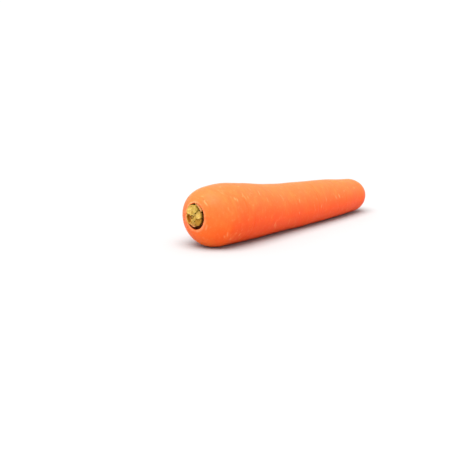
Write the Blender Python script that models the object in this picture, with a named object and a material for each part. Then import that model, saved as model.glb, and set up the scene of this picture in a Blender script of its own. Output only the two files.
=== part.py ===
"""One fresh carrot, washed and trimmed, lying on its side on a surface.

The crown faces -X and the tip points along +X. The root is one solid, lofted in rings from the floor of the
crown pit, over the rounded shoulders and along the tapering body to the blunt tip. In the pit sit the flat
short stem and the cut stalks of the leaves, each a piece of its own. Metres, +Z up, surface at z = 0.
"""
import math
from collections import namedtuple

import bmesh
import bpy
import numpy as np
from mathutils import Vector

MM = 0.001

# --- the root ---------------------------------------------------------------------------------------------
ROOT_LENGTH = 190 * MM        # from the crown's pole to the end of the tip
ROOT_RADIUS = 20.8 * MM       # at the thickest place
GIRTHS = (                    # share of the length, share of the largest radius
    (0.00, 0.960), (0.08, 0.990), (0.16, 1.000), (0.26, 0.940),
    (0.40, 0.846), (0.60, 0.754), (0.80, 0.676), (0.92, 0.600), (1.00, 0.570),
)
CROWN_ROUNDING = 0.90 * ROOT_RADIUS   # length of the rounded shoulders
CROWN_FULLNESS = 2.3                  # 2 is an ellipse, more is squarer
TIP_ROUNDING = 0.70 * ROOT_RADIUS     # length of the rounded tip
TIP_FULLNESS = 2.2
SIDE_BEND = -2.0 * MM         # how far the middle of the root bows sideways
TIP_LIFT = 0.8 * MM           # how far the tip rises off the surface
TIP_LIFT_START = 0.55         # share of the length where it begins to rise
CROWN_LIFT = 3.3 * MM         # how far the crown's pole sits above the line of the body
BELLY_FLAT = 0.35 * MM        # depth of the flattened strip that the root rests on
OVAL = 0.012                  # unevenness of the section: two-sided, three-sided
TRIANGLE = 0.008
LOBE_TWIST = 2.2              # turn of that unevenness along the root, radians

# --- the crown pit ----------------------------------------------------------------------------------------
PIT_HALF_HEIGHT = 8.6 * MM
PIT_HALF_WIDTH = 7.4 * MM
PIT_DEPTH = 5.5 * MM          # floor, measured from the crown's pole
PIT_CORNER = 0.6 * MM         # rounding between the floor and the wall
PIT_LIP = 1.1 * MM            # rounding between the wall and the shoulders
PIT_LIP_DROP = 1.6 * PIT_LIP  # how far down the wall that rounding begins
PIT_OVAL_REACH = 0.6 * ROOT_RADIUS    # how far out the shoulders follow the pit's oval

# --- the stalks in the pit --------------------------------------------------------------------------------
GAP = 0.3 * MM                # between neighbouring pieces
CLUSTER_SIDE = 0.55 * MM      # middle of the cluster, towards +Y of the pit's middle
CLUSTER_RISE = 0.1 * MM       # and above it
CLUSTER_SQUASH = PIT_HALF_WIDTH / PIT_HALF_HEIGHT
STEM_RADIUS = 7.2 * MM
STEM_THICKNESS = 1.3 * MM
STALK_FOOT = PIT_DEPTH - GAP - STEM_THICKNESS - GAP   # depth at which the stalks begin
STALK_FULLNESS = 3.0          # fullness of a stalk's section, 2 is an ellipse
BORE_SHARE = 0.80             # width of the hollow stalk's bore
BORE_FLOOR_SHARE = 0.68
BORE_DEPTH = 1.5 * MM

# Angles in degrees are seen from outside the crown, turning from -Y towards +Z. Lengths are in mm: proud is the
# height of the cut's middle above the crown's pole, slope and fall are how far the cut drops from its first
# edge to its last and from its inner edge to its outer one, and flare leans the part above the rim outwards.
Stalk = namedtuple("Stalk", "name angle half_span radius half_thick proud slope fall flare")
STALKS = (
    Stalk("leaf_stalk_1", 200, 36, 4.50, 3.00, -0.6, 0.0, 0.5, 0.00),
    Stalk("leaf_stalk_2", 129, 31, 5.50, 2.20, -0.1, -0.5, 0.9, 0.00),
    Stalk("leaf_stalk_3", 69, 25, 5.42, 2.12, 0.8, 0.3, 0.7, 0.00),
    Stalk("leaf_stalk_4", 16, 24, 5.00, 1.70, -0.2, 0.5, 1.4, 0.00),
    Stalk("leaf_stalk_5", -40, 28, 5.05, 1.75, -0.9, 0.7, 1.2, 0.00),
    Stalk("leaf_stalk_6", -96, 21, 4.25, 0.95, -0.8, 0.0, 0.5, 0.00),
    Stalk("inner_stalk_1", 92, 62, 2.22, 0.74, 0.8, -0.4, 0.3, 0.00),
    Stalk("inner_stalk_2", -45, 64, 2.22, 0.74, 0.4, 0.5, 0.3, 0.00),
    Stalk("leaf_sheath_1", -106, 21, 6.65, 0.32, -1.2, -0.4, 0.0, 0.10),
    Stalk("leaf_sheath_2", 51, 21, 8.15, 0.30, 0.3, -2.0, 0.0, 1.00),
    Stalk("leaf_sheath_3", -98, 22, 5.75, 0.28, -0.9, 0.3, 0.0, 0.05),
)
HOLLOW_STALK = "leaf_stalk_1"
BUD_RADIUS = 1.1 * MM
BUD_PROUD = 0.5 * MM
BUD_CLOSING = 0.85            # how much of the bud's section is gone at its point

# --- how finely the pieces are divided --------------------------------------------------------------------
SIDES = 40
BODY_RINGS = 22
SHOULDER_RINGS = 9
TIP_RINGS = 8
LIP_RINGS = 4
STEM_SIDES = 24
STALK_SIDE_POINTS = 11
STALK_LEVELS = 3
BUD_SIDES = 14
BUD_LEVELS = 4
SHARP_EDGE = math.radians(35)     # edges sharper than this are shaded as edges


def clear_scene():
    for obj in list(bpy.context.scene.objects):
        bpy.data.objects.remove(obj, do_unlink=True)


def plain_material(name, colour, roughness):
    material = bpy.data.materials.new(name)
    material.use_nodes = True
    shader = material.node_tree.nodes["Principled BSDF"]
    shader.inputs["Base Color"].default_value = (*colour, 1.0)
    shader.inputs["Roughness"].default_value = roughness
    shader.inputs["Metallic"].default_value = 0.0
    return material


def smooth_step(x):
    x = min(max(x, 0.0), 1.0)
    return x * x * (3 - 2 * x)


def smooth_through(points, place):
    """The height at a place of a smooth curve that runs through the points."""
    places = np.array([p[0] for p in points])
    heights = np.array([p[1] for p in points])
    slopes = np.gradient(heights, places)
    i = int(np.clip(np.searchsorted(places, place) - 1, 0, len(places) - 2))
    step = places[i + 1] - places[i]
    u = (place - places[i]) / step
    rise = heights[i + 1] - heights[i]
    a = step * slopes[i] - rise
    b = rise - step * slopes[i + 1]
    return float(heights[i] + u * rise + u * (1 - u) * (a * (1 - u) + b * u))


# --- shape of the root ------------------------------------------------------------------------------------
def body_radius(s):
    """Half thickness at the distance s from the crown's pole, before the two ends are rounded."""
    return ROOT_RADIUS * smooth_through(GIRTHS, s / ROOT_LENGTH)


def unevenness(angle, s):
    turn = LOBE_TWIST * s / ROOT_LENGTH
    return OVAL * math.cos(2 * angle - turn) + TRIANGLE * math.cos(3 * angle + turn)


def spine(s):
    """Side and height of the section's middle. The body's underside lies just below the surface."""
    t = s / ROOT_LENGTH
    side = SIDE_BEND * 4 * t * (1 - t)
    underside = body_radius(s) * (1 + unevenness(-math.pi / 2, s))
    tip_rise = TIP_LIFT * max(0.0, (t - TIP_LIFT_START) / (1 - TIP_LIFT_START)) ** 2
    crown_rise = CROWN_LIFT * max(0.0, 1 - s / CROWN_ROUNDING) ** 2
    return side, underside - BELLY_FLAT + tip_rise + crown_rise


def shoulder_depth(radius):
    """Distance from the crown's pole at which the rounded shoulders reach a radius."""
    share = min(radius / body_radius(0.0), 1.0) ** CROWN_FULLNESS
    return CROWN_ROUNDING * (1 - (1 - share) ** (1 / CROWN_FULLNESS))


def pit_outline():
    """(depth, radius) from the middle of the pit's floor, up its wall and over its lip."""
    wall = PIT_HALF_HEIGHT
    floor = [(PIT_DEPTH, 0.0), (PIT_DEPTH, 0.5 * wall), (PIT_DEPTH, wall - PIT_CORNER)]
    bevel = PIT_CORNER * (1 - math.sin(math.pi / 4))
    corner = (PIT_DEPTH - bevel, wall - bevel)
    start = np.array((shoulder_depth(wall) + PIT_LIP_DROP, wall))
    bend = np.array((shoulder_depth(wall), wall))
    end = np.array((shoulder_depth(wall + PIT_LIP), wall + PIT_LIP))
    lip = []
    for i in range(LIP_RINGS + 1):
        u = i / LIP_RINGS
        lip.append(tuple((1 - u) ** 2 * start + 2 * u * (1 - u) * bend + u * u * end))
    return floor + [corner, (PIT_DEPTH - PIT_CORNER, wall)] + lip


def root_outline():
    """(depth, radius) of every ring, from the pit's floor to the last ring before the tip's pole."""
    outline = pit_outline()
    first = math.asin((outline[-1][1] / body_radius(0.0)) ** (CROWN_FULLNESS / 2))
    for i in range(1, SHOULDER_RINGS + 1):
        angle = first + (math.pi / 2 - first) * i / SHOULDER_RINGS
        s = CROWN_ROUNDING * (1 - max(math.cos(angle), 0.0) ** (2 / CROWN_FULLNESS))
        outline.append((s, body_radius(s) * math.sin(angle) ** (2 / CROWN_FULLNESS)))
    body_length = ROOT_LENGTH - CROWN_ROUNDING - TIP_ROUNDING
    for i in range(1, BODY_RINGS + 1):
        s = CROWN_ROUNDING + body_length * i / BODY_RINGS
        outline.append((s, body_radius(s)))
    for i in range(1, TIP_RINGS):
        angle = math.pi / 2 * (1 - i / TIP_RINGS)
        s = ROOT_LENGTH - TIP_ROUNDING * (1 - math.cos(angle) ** (2 / TIP_FULLNESS))
        outline.append((s, body_radius(s) * math.sin(angle) ** (2 / TIP_FULLNESS)))
    return outline


def root_ring(s, radius, rim_depth):
    """One ring of the root. Rings of the pit keep the rim's middle, so that the wall runs straight in."""
    inside_pit = s <= PIT_DEPTH and radius <= PIT_HALF_HEIGHT
    middle_side, middle_height = spine(rim_depth if inside_pit else max(s, rim_depth))
    on_shoulders = smooth_step((radius - PIT_HALF_HEIGHT) / PIT_OVAL_REACH)
    past_shoulders = smooth_step((s - CROWN_ROUNDING) / CROWN_ROUNDING)
    roundness = max(on_shoulders, past_shoulders, 1.0 if s > ROOT_LENGTH / 2 else 0.0)
    width = CLUSTER_SQUASH + (1 - CLUSTER_SQUASH) * roundness
    ring = []
    for i in range(SIDES):
        angle = 2 * math.pi * i / SIDES
        reach = radius * (1 + unevenness(angle, s) * roundness)
        ring.append(Vector((s, middle_side + reach * width * math.cos(angle),
                            middle_height + reach * math.sin(angle))))
    return ring


# --- building meshes --------------------------------------------------------------------------------------
def loft(rings, first_point=None, last_point=None):
    """A closed skin over rings with the same number of points, ended by a point or by a flat face."""
    bm = bmesh.new()
    loops = [[bm.verts.new(point) for point in ring] for ring in rings]
    count = len(rings[0])
    for near, far in zip(loops, loops[1:]):
        for i in range(count):
            j = (i + 1) % count
            bm.faces.new((near[i], near[j], far[j], far[i]))
    for loop, point in ((loops[0], first_point), (loops[-1], last_point)):
        if point is None:
            bm.faces.new(loop)
        else:
            pole = bm.verts.new(point)
            for i in range(count):
                bm.faces.new((loop[i], loop[(i + 1) % count], pole))
    bmesh.ops.recalc_face_normals(bm, faces=bm.faces)
    return bm


def add_object(name, bm, material, parent):
    mesh = bpy.data.meshes.new(name)
    bm.to_mesh(mesh)
    bm.free()
    mesh.materials.append(material)
    mesh.shade_smooth()
    mesh.set_sharp_from_angle(angle=SHARP_EDGE)
    obj = bpy.data.objects.new(name, mesh)
    bpy.context.scene.collection.objects.link(obj)
    obj.parent = parent
    return obj


def flatten_belly(bm):
    """Cuts off what lies below the surface and closes the cut with one flat face."""
    geometry = bm.verts[:] + bm.edges[:] + bm.faces[:]
    bmesh.ops.bisect_plane(bm, geom=geometry, plane_co=(0, 0, 0), plane_no=(0, 0, 1), clear_inner=True)
    rim = [edge for edge in bm.edges if edge.is_boundary]
    bmesh.ops.holes_fill(bm, edges=rim, sides=len(rim))
    bmesh.ops.recalc_face_normals(bm, faces=bm.faces)


def make_taproot(parent):
    outline = root_outline()
    rim_depth = shoulder_depth(PIT_HALF_HEIGHT)
    rings = [root_ring(s, radius, rim_depth) for s, radius in outline[1:]]
    rim_side, rim_height = spine(rim_depth)
    bm = loft(rings, Vector((PIT_DEPTH, rim_side, rim_height)), Vector((ROOT_LENGTH, *spine(ROOT_LENGTH))))
    flatten_belly(bm)
    return add_object("taproot", bm, plain_material("carrot_skin", (0.93, 0.19, 0.03), 0.42), parent)


# --- the stem and the stalks ------------------------------------------------------------------------------
def cluster_point(angle, radius, depth):
    """A point of the cluster, from its angle and radius seen from outside the crown."""
    side, height = spine(shoulder_depth(PIT_HALF_HEIGHT))
    return Vector((depth, side + CLUSTER_SIDE - CLUSTER_SQUASH * radius * math.cos(angle),
                   height + CLUSTER_RISE + radius * math.sin(angle)))


def round_ring(radius, depth, sides):
    return [cluster_point(2 * math.pi * i / sides, radius, depth) for i in range(sides)]


def rounded(x):
    """Turns a coordinate of the unit circle into that of a squarer outline."""
    return math.copysign(abs(x) ** (2 / STALK_FULLNESS), x)


def stalk_ring(stalk, level, slant, share):
    """The crescent of a stalk's section, at a depth below the crown's pole, shrunk to a share of its size."""
    over_rim = max(0.0, shoulder_depth(PIT_HALF_HEIGHT) - level)
    middle = stalk.radius * MM + stalk.flare * over_rim
    ring = []
    for i in range(2 * STALK_SIDE_POINTS):
        around = math.pi * (i + 0.5) / STALK_SIDE_POINTS
        along = share * rounded(math.cos(around))
        across = share * rounded(math.sin(around))
        angle = math.radians(stalk.angle + stalk.half_span * along)
        drop = slant * MM * (stalk.slope * along + stalk.fall * across) / 2
        ring.append(cluster_point(angle, middle + across * stalk.half_thick * MM, level + drop))
    return ring


def make_stalk(stalk, material, parent):
    """A stalk's foot stands on the stem, its top is the slanting cut, and a hollow stalk has a blind bore."""
    top = -stalk.proud * MM
    rings = []
    for i in range(STALK_LEVELS + 1):
        rise = i / STALK_LEVELS
        rings.append(stalk_ring(stalk, STALK_FOOT + (top - STALK_FOOT) * rise, rise, 1.0))
    if stalk.name == HOLLOW_STALK:
        rings.append(stalk_ring(stalk, top, 1.0, BORE_SHARE))
        rings.append(stalk_ring(stalk, top + BORE_DEPTH, 1.0, BORE_FLOOR_SHARE))
    return add_object(stalk.name, loft(rings), material, parent)


def make_stem_base(parent):
    foot = PIT_DEPTH - GAP
    rings = [round_ring(STEM_RADIUS - PIT_CORNER, foot, STEM_SIDES),
             round_ring(STEM_RADIUS, foot - STEM_THICKNESS / 2, STEM_SIDES),
             round_ring(STEM_RADIUS - PIT_CORNER / 2, foot - STEM_THICKNESS, STEM_SIDES)]
    return add_object("stem_base", loft(rings), plain_material("stem_flesh", (0.48, 0.27, 0.06), 0.7), parent)


def make_heart_bud(material, parent):
    """A small round bud that narrows to a blunt point."""
    rings = []
    for i in range(BUD_LEVELS + 1):
        rise = i / BUD_LEVELS
        depth = STALK_FOOT + (-BUD_PROUD - STALK_FOOT) * rise
        rings.append(round_ring(BUD_RADIUS * math.sqrt(1 - BUD_CLOSING * rise ** 3), depth, BUD_SIDES))
    return add_object("heart_bud", loft(rings), material, parent)


def settle_on_origin(pieces, parent):
    """Moves the carrot so that the middle of its box stands over the origin."""
    points = [vertex.co for piece in pieces for vertex in piece.data.vertices]
    for axis in (0, 1):
        low = min(point[axis] for point in points)
        high = max(point[axis] for point in points)
        parent.location[axis] = -(low + high) / 2


def make_carrot():
    clear_scene()
    carrot = bpy.data.objects.new("carrot", None)
    bpy.context.scene.collection.objects.link(carrot)
    stalk_material = plain_material("cut_stalk", (0.66, 0.45, 0.11), 0.6)
    sheath_material = plain_material("dry_sheath", (0.80, 0.48, 0.20), 0.75)
    pieces = [make_taproot(carrot), make_stem_base(carrot), make_heart_bud(stalk_material, carrot)]
    for stalk in STALKS:
        material = sheath_material if stalk.name.startswith("leaf_sheath") else stalk_material
        pieces.append(make_stalk(stalk, material, carrot))
    settle_on_origin(pieces, carrot)


make_carrot()
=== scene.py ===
import math
from collections import namedtuple

import bpy
import numpy as np
from bpy.props import FloatProperty, FloatVectorProperty, IntProperty, PointerProperty
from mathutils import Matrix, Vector, noise


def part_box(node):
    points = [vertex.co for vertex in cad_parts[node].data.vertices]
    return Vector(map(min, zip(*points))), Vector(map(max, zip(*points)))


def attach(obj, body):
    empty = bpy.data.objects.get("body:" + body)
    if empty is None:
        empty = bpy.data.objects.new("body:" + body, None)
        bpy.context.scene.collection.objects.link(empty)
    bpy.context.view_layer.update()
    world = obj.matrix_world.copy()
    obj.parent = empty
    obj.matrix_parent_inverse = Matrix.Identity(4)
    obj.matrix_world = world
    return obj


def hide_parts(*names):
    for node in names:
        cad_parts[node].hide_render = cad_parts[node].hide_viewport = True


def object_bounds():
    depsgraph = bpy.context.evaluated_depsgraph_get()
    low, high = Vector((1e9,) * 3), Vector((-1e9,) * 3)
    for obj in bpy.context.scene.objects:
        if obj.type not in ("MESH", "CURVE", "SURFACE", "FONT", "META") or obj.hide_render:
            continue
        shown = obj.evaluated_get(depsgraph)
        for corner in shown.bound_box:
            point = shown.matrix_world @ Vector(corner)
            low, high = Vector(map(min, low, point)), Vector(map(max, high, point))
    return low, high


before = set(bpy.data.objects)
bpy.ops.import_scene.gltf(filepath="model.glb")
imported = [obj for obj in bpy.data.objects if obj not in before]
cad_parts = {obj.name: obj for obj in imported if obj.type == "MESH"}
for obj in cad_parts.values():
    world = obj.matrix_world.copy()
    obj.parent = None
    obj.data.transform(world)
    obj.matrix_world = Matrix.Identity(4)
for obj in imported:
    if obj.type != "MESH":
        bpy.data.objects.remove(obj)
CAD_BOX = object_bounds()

bl_info = {
    "name": "Fresh carrot",
    "version": (1, 0, 0),
    "blender": (4, 5, 0),
    "location": "3D View > Sidebar > Carrot",
    "description": "Dresses a trimmed carrot: creased skin, crown pit, cut leaf stalks, and a plain studio",
    "category": "Add Mesh",
}

MM = 0.001
BODY = "root"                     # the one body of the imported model

ROOT_LOW, ROOT_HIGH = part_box("taproot")
STEM_LOW, STEM_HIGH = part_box("stem_base")
ROOT_SIZE = ROOT_HIGH - ROOT_LOW
STEM_SIZE = STEM_HIGH - STEM_LOW

# --- proportions of the root, as shares of its length and of its largest radius ---------------------------
GIRTHS = (
    (0.00, 0.960), (0.08, 0.990), (0.16, 1.000), (0.26, 0.940),
    (0.40, 0.846), (0.60, 0.754), (0.80, 0.676), (0.92, 0.600), (1.00, 0.570),
)
POLE_SHARE = 0.0083               # how far the shoulders' pole would stand in front of the pit's rim
SIDE_SWELL = 1.017                # the widest side, compared with the largest radius
SHOULDER_SHARE = 0.90
SHOULDER_FULLNESS = 2.3           # 2 is an ellipse, more is squarer
TIP_SHARE = 0.70
TIP_FULLNESS = 2.2
TIP_LIFT_START = 0.55
OVAL = 0.012
TRIANGLE = 0.008
LOBE_TWIST = 2.2                  # radians along the whole root
PIT_OVAL_SHARE = 0.6              # how far out the shoulders follow the pit's oval
PIT_CORNER = 0.6 * MM
PIT_LIP = 1.1 * MM
PIT_LIP_DROP = 1.6 * PIT_LIP      # how far down the wall the lip's rounding begins

# --- where the skin is painted lighter on top and given painted shade underneath: the upward share of its slope at which each has faded ---
TOP_LIGHT_REACH = 0.55
UNDERSIDE_SHADE_REACH = 0.75
CROWN_REACH = 12 * MM             # how far from the lip the crown's paler skin fades

# --- the leaf stalks, as they stand in the pit ------------------------------------------------------------
STALK_FOOT_GAP = 0.3 * MM
STALK_FULLNESS = 3.6              # fullness of a stalk's section, 2 is an ellipse
STALK_PRESS = 0.22 * MM           # how far each stalk swells into the gap to its neighbour
BORE_SHARE = 0.80                 # width of the hollow stalk's bore
BORE_FLOOR_SHARE = 0.68

# Angles in degrees are seen from outside the crown, turning from -Y towards +Z. Lengths are in mm: proud is
# the height of the cut's middle above the shoulders' pole, slope and fall are how far the cut drops from its
# first edge to its last and from its inner edge to its outer one, flare leans the part above the rim
# outwards, and ragged is how uneven the cut edge is. Green and brown are shares of those tints.
# The brown share, heaviest on the stalks at the bottom of the crown, is partly an older cut's brown and
# partly painted shade.
Stalk = namedtuple("Stalk", "name node angle half_span radius half_thick proud slope fall flare "
                            "ragged green brown")
STALKS = (
    Stalk("cut_stalk_1", "leaf_stalk_1", 200, 36, 4.50, 3.00, -0.6, 0.0, 0.5, 0.00, 0.20, 0.10, 0.30),
    Stalk("cut_stalk_2", "leaf_stalk_2", 129, 31, 5.50, 2.20, -0.1, -0.5, 0.9, 0.00, 0.35, 0.30, 0.00),
    Stalk("cut_stalk_3", "leaf_stalk_3", 69, 25, 5.42, 2.12, 0.8, 0.3, 0.7, 0.00, 0.35, 1.00, 0.00),
    Stalk("cut_stalk_4", "leaf_stalk_4", 16, 24, 5.00, 1.70, -0.2, 0.5, 1.4, 0.00, 0.40, 0.35, 0.05),
    Stalk("cut_stalk_5", "leaf_stalk_5", -40, 28, 5.05, 1.75, -0.9, 0.7, 1.2, 0.00, 0.40, 0.10, 0.85),
    Stalk("cut_stalk_6", "leaf_stalk_6", -96, 21, 4.25, 0.95, -0.8, 0.0, 0.5, 0.00, 0.30, 0.05, 0.45),
    Stalk("cut_inner_stalk_1", "inner_stalk_1", 92, 62, 2.22, 0.74, 0.8, -0.4, 0.3, 0.00, 0.25, 0.50, 0.00),
    Stalk("cut_inner_stalk_2", "inner_stalk_2", -45, 64, 2.22, 0.74, 0.4, 0.5, 0.3, 0.00, 0.25, 0.30, 0.20),
)
SHEATHS = (
    Stalk("torn_sheath_1", "leaf_sheath_1", -106, 21, 6.65, 0.32, -1.2, -0.4, 0.0, 0.10, 0.45, 0.00, 0.15),
    Stalk("torn_sheath_2", "leaf_sheath_2", 51, 21, 8.15, 0.30, 0.3, -2.0, 0.0, 1.00, 0.90, 0.00, 0.00),
    Stalk("torn_sheath_3", "leaf_sheath_3", -98, 22, 5.75, 0.28, -0.9, 0.3, 0.0, 0.05, 0.40, 0.00, 0.60),
)
HOLLOW_STALK = "cut_stalk_1"
CUT_ROUNDING_START = 0.93         # share of a stalk's height at which its cut edge begins to round
CUT_ROUNDING = 0.03
BUNDLE_SPACING = 0.55 * MM
BUNDLE_SIZE = 0.24 * MM
BUNDLE_RISE = 0.10 * MM
RIB_WIDTH = 0.16 * MM
COARSE_FRAY = 0.9 * MM            # grain sizes of a cut's roughness
FINE_FRAY = 0.35 * MM
FINE_FRAY_SHARE = 0.6
EDGE_START = 0.85                 # share of a stalk's height at which the cut's darker edge begins
EDGE_REACH = 0.08                 # and how far it reaches over the cut, as a share of the section
SWAY = 0.14 * MM                  # how far a stalk's side wanders

# --- how finely the pieces are divided --------------------------------------------------------------------
RING_SPACING = 0.40 * MM
ROOT_SIDES = 170
STALK_SIDES = 110
STALK_LEVELS = 22
CAP_RINGS = 16
CORNER_POINTS = 7                 # points on each stretch of the root's outline, from the pit to the tip
LIP_POINTS = 15
SHOULDER_POINTS = 90
BODY_POINTS = 160
TIP_POINTS = 80


# --- settings that a user can change ----------------------------------------------------------------------
def colour_setting(name, description, default):
    return FloatVectorProperty(name=name, description=description, default=default, size=3, min=0.0, max=1.0,
                               subtype="COLOR")


def length_setting(name, description, default):
    return FloatProperty(name=name, description=description, default=default, unit="LENGTH",
                         subtype="DISTANCE", precision=4)


class CarrotRootSettings(bpy.types.PropertyGroup):
    """Sizes of the root and of the pit in its crown."""
    length: length_setting("Length", "From the shoulders' pole to the end of the tip",
                           ROOT_SIZE.x * (1 + POLE_SHARE))
    radius: length_setting("Radius", "Half thickness at the thickest place", ROOT_SIZE.y / 2 / SIDE_SWELL)
    side_bend: length_setting("Side bend", "How far the middle bows sideways", -2.0 * MM)
    tip_lift: length_setting("Tip lift", "How far the tip rises off the surface", 0.8 * MM)
    crown_lift: length_setting("Crown lift", "How far the pole sits above the body's line", 3.3 * MM)
    belly_flat: length_setting("Flat belly", "Depth of the strip it rests on", 0.35 * MM)
    pit_half_height: length_setting("Pit half height", "Half of the crown pit's height", 8.6 * MM)
    pit_half_width: length_setting("Pit half width", "Half of the crown pit's width", 7.4 * MM)
    pit_depth: length_setting("Pit depth", "Floor of the pit below the shoulders' pole", 5.5 * MM)


class CarrotSkinSettings(bpy.types.PropertyGroup):
    """Relief and colours of the skin."""
    creases: IntProperty(name="Creases", description="How many fine creases run across the skin", default=170,
                         min=0)
    crease_depth: length_setting("Crease depth", "Depth of the deepest crease", 0.13 * MM)
    marks: IntProperty(name="Marks", description="How many pale breathing marks the skin has", default=180,
                       min=0)
    mark_height: length_setting("Mark height", "How far a breathing mark stands out", 0.10 * MM)
    swell: length_setting("Swell", "Height of the broad unevenness", 0.17 * MM)
    seed: IntProperty(name="Seed", description="Another number gives another pattern", default=11)
    skin: colour_setting("Skin", "Main orange of the skin", (0.90, 0.108, 0.006))
    deep_skin: colour_setting("Deep skin", "Redder orange in patches and creases", (0.87, 0.088, 0.004))
    pale_skin: colour_setting("Pale skin", "Yellower orange in patches", (0.91, 0.166, 0.022))
    # paler orange where the skin faces up: painted light and painted sheen from the overhead lamp
    top_light_skin: colour_setting("Dry skin", "Paler orange of the upper side", (0.93, 0.195, 0.062))
    # redder, darker orange where the skin faces down: painted shade of the underside
    underside_shade_skin: colour_setting("Shaded skin", "Redder orange of the underside", (0.86, 0.055, 0.001))
    mark: colour_setting("Breathing marks", "Pale colour of the marks", (0.94, 0.34, 0.13))
    rim: colour_setting("Rim", "Pale lip round the pit", (0.94, 0.34, 0.16))
    speck: colour_setting("Specks", "Brown of the tiny specks", (0.45, 0.06, 0.004))
    # the pit's wall colour is mostly painted shade down in the pit, with some soil brown; the same brown also
    # paints the real scar at the tip
    pit: colour_setting("Pit", "Brown of the pit's wall", (0.21, 0.032, 0.002))


class CarrotStalkSettings(bpy.types.PropertyGroup):
    """Relief and colours of the cut stalks, the sheaths and the stem."""
    ribs: length_setting("Ribs", "Height of the ribs along a stalk", 0.06 * MM)
    fray: length_setting("Fray", "Roughness of a cut face", 0.30 * MM)
    bore_depth: length_setting("Bore depth", "Depth of the hollow stalk's bore", 1.5 * MM)
    cut: colour_setting("Cut face", "Pale yellow of a fresh cut", (0.68, 0.45, 0.10))
    fresh: colour_setting("Fresh grains", "Cream of the freshest grains of a cut", (0.86, 0.58, 0.20))
    cut_shade: colour_setting("Cut shade", "Golden patches of a cut face", (0.46, 0.25, 0.035))
    flank: colour_setting("Flank", "Straw colour of a stalk's side", (0.50, 0.27, 0.05))
    green: colour_setting("Green", "Olive green of a fresh flank", (0.31, 0.215, 0.022))
    bore: colour_setting("Bore", "Brown inside the hollow stalk", (0.40, 0.145, 0.004))
    sheath: colour_setting("Sheath", "Cream of a dry sheath", (0.80, 0.38, 0.15))
    # golden brown: partly an older cut, partly painted shade on the downward-facing stalks
    brown: colour_setting("Brown", "Golden brown of an older cut", (0.42, 0.19, 0.010))
    # the stalks' feet down in the pit are darkened: partly soil brown, partly painted shade
    deep: colour_setting("Deep", "Dark red brown of the stalks' feet down in the pit", (0.10, 0.016, 0.002))
    # the stem's dark brown is partly painted shade, since it shows only down between the stalks
    stem: colour_setting("Stem", "Dark brown of the stem's flesh", (0.16, 0.05, 0.006))


class CarrotStudioSettings(bpy.types.PropertyGroup):
    """Floor, lights and camera."""
    floor_size: length_setting("Floor size", "Side of the pale floor", 60.0)
    floor: colour_setting("Floor", "Colour of the floor", (0.44, 0.44, 0.44))
    sky_strength: FloatProperty(name="Surroundings", description="Strength of the white surroundings",
                                default=1.0, min=0.0)
    lamp_strength: FloatProperty(name="Lamp strength", description="Light of the overhead lamp", default=4.5,
                                 min=0.0)
    lamp_spread: FloatProperty(name="Lamp spread", description="Angle over which the lamp spreads its light",
                               default=math.radians(60), subtype="ANGLE")
    lamp_azimuth: FloatProperty(name="Lamp azimuth", description="Direction that the light comes from",
                                default=math.radians(-70), subtype="ANGLE")
    lamp_elevation: FloatProperty(name="Lamp elevation", description="Height of the lamp over the horizon",
                                  default=math.radians(72), subtype="ANGLE")
    azimuth: FloatProperty(name="Azimuth", description="Direction of the camera round the carrot",
                           default=math.radians(-49.63), subtype="ANGLE")
    elevation: FloatProperty(name="Elevation", description="Height of the camera over the horizon",
                             default=math.radians(11.57), subtype="ANGLE")
    distance: length_setting("Distance", "From the camera to the carrot", 0.8865)
    lens: FloatProperty(name="Lens", description="Focal length in millimetres", default=100.0, min=1.0)
    aim_side: length_setting("Aim to the side", "How far left of the carrot's middle the camera looks",
                             0.0411)
    aim_drop: length_setting("Aim below", "How far below the carrot's middle the camera looks", 0.0177)


# --- curves -----------------------------------------------------------------------------------------------
def smooth_step(x):
    x = np.clip(x, 0.0, 1.0)
    return x * x * (3 - 2 * x)


def fading(distance, reach):
    """A soft bump, 1 where the distance is 0."""
    return np.exp(-(distance / reach) ** 2)


def smooth_through(points, places):
    """Heights at some places of a smooth curve that runs through the points."""
    xs = np.array([p[0] for p in points])
    ys = np.array([p[1] for p in points])
    slopes = np.gradient(ys, xs)
    i = np.clip(np.searchsorted(xs, places) - 1, 0, len(xs) - 2)
    step = xs[i + 1] - xs[i]
    rise = ys[i + 1] - ys[i]
    u = (places - xs[i]) / step
    a = step * slopes[i] - rise
    b = rise - step * slopes[i + 1]
    return ys[i] + u * rise + u * (1 - u) * (a * (1 - u) + b * u)


def spaced_evenly(path, spacing):
    """The same path with points at one spacing, and the distance of each from the start."""
    steps = np.linalg.norm(np.diff(path, axis=0), axis=1)
    travelled = np.concatenate(([0.0], np.cumsum(steps)))
    places = np.linspace(0.0, travelled[-1], int(travelled[-1] / spacing) + 1)
    columns = [np.interp(places, travelled, path[:, k]) for k in range(path.shape[1])]
    return np.stack(columns, axis=1), places


def wrapped(angle):
    return (angle + math.pi) % (2 * math.pi) - math.pi


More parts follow.
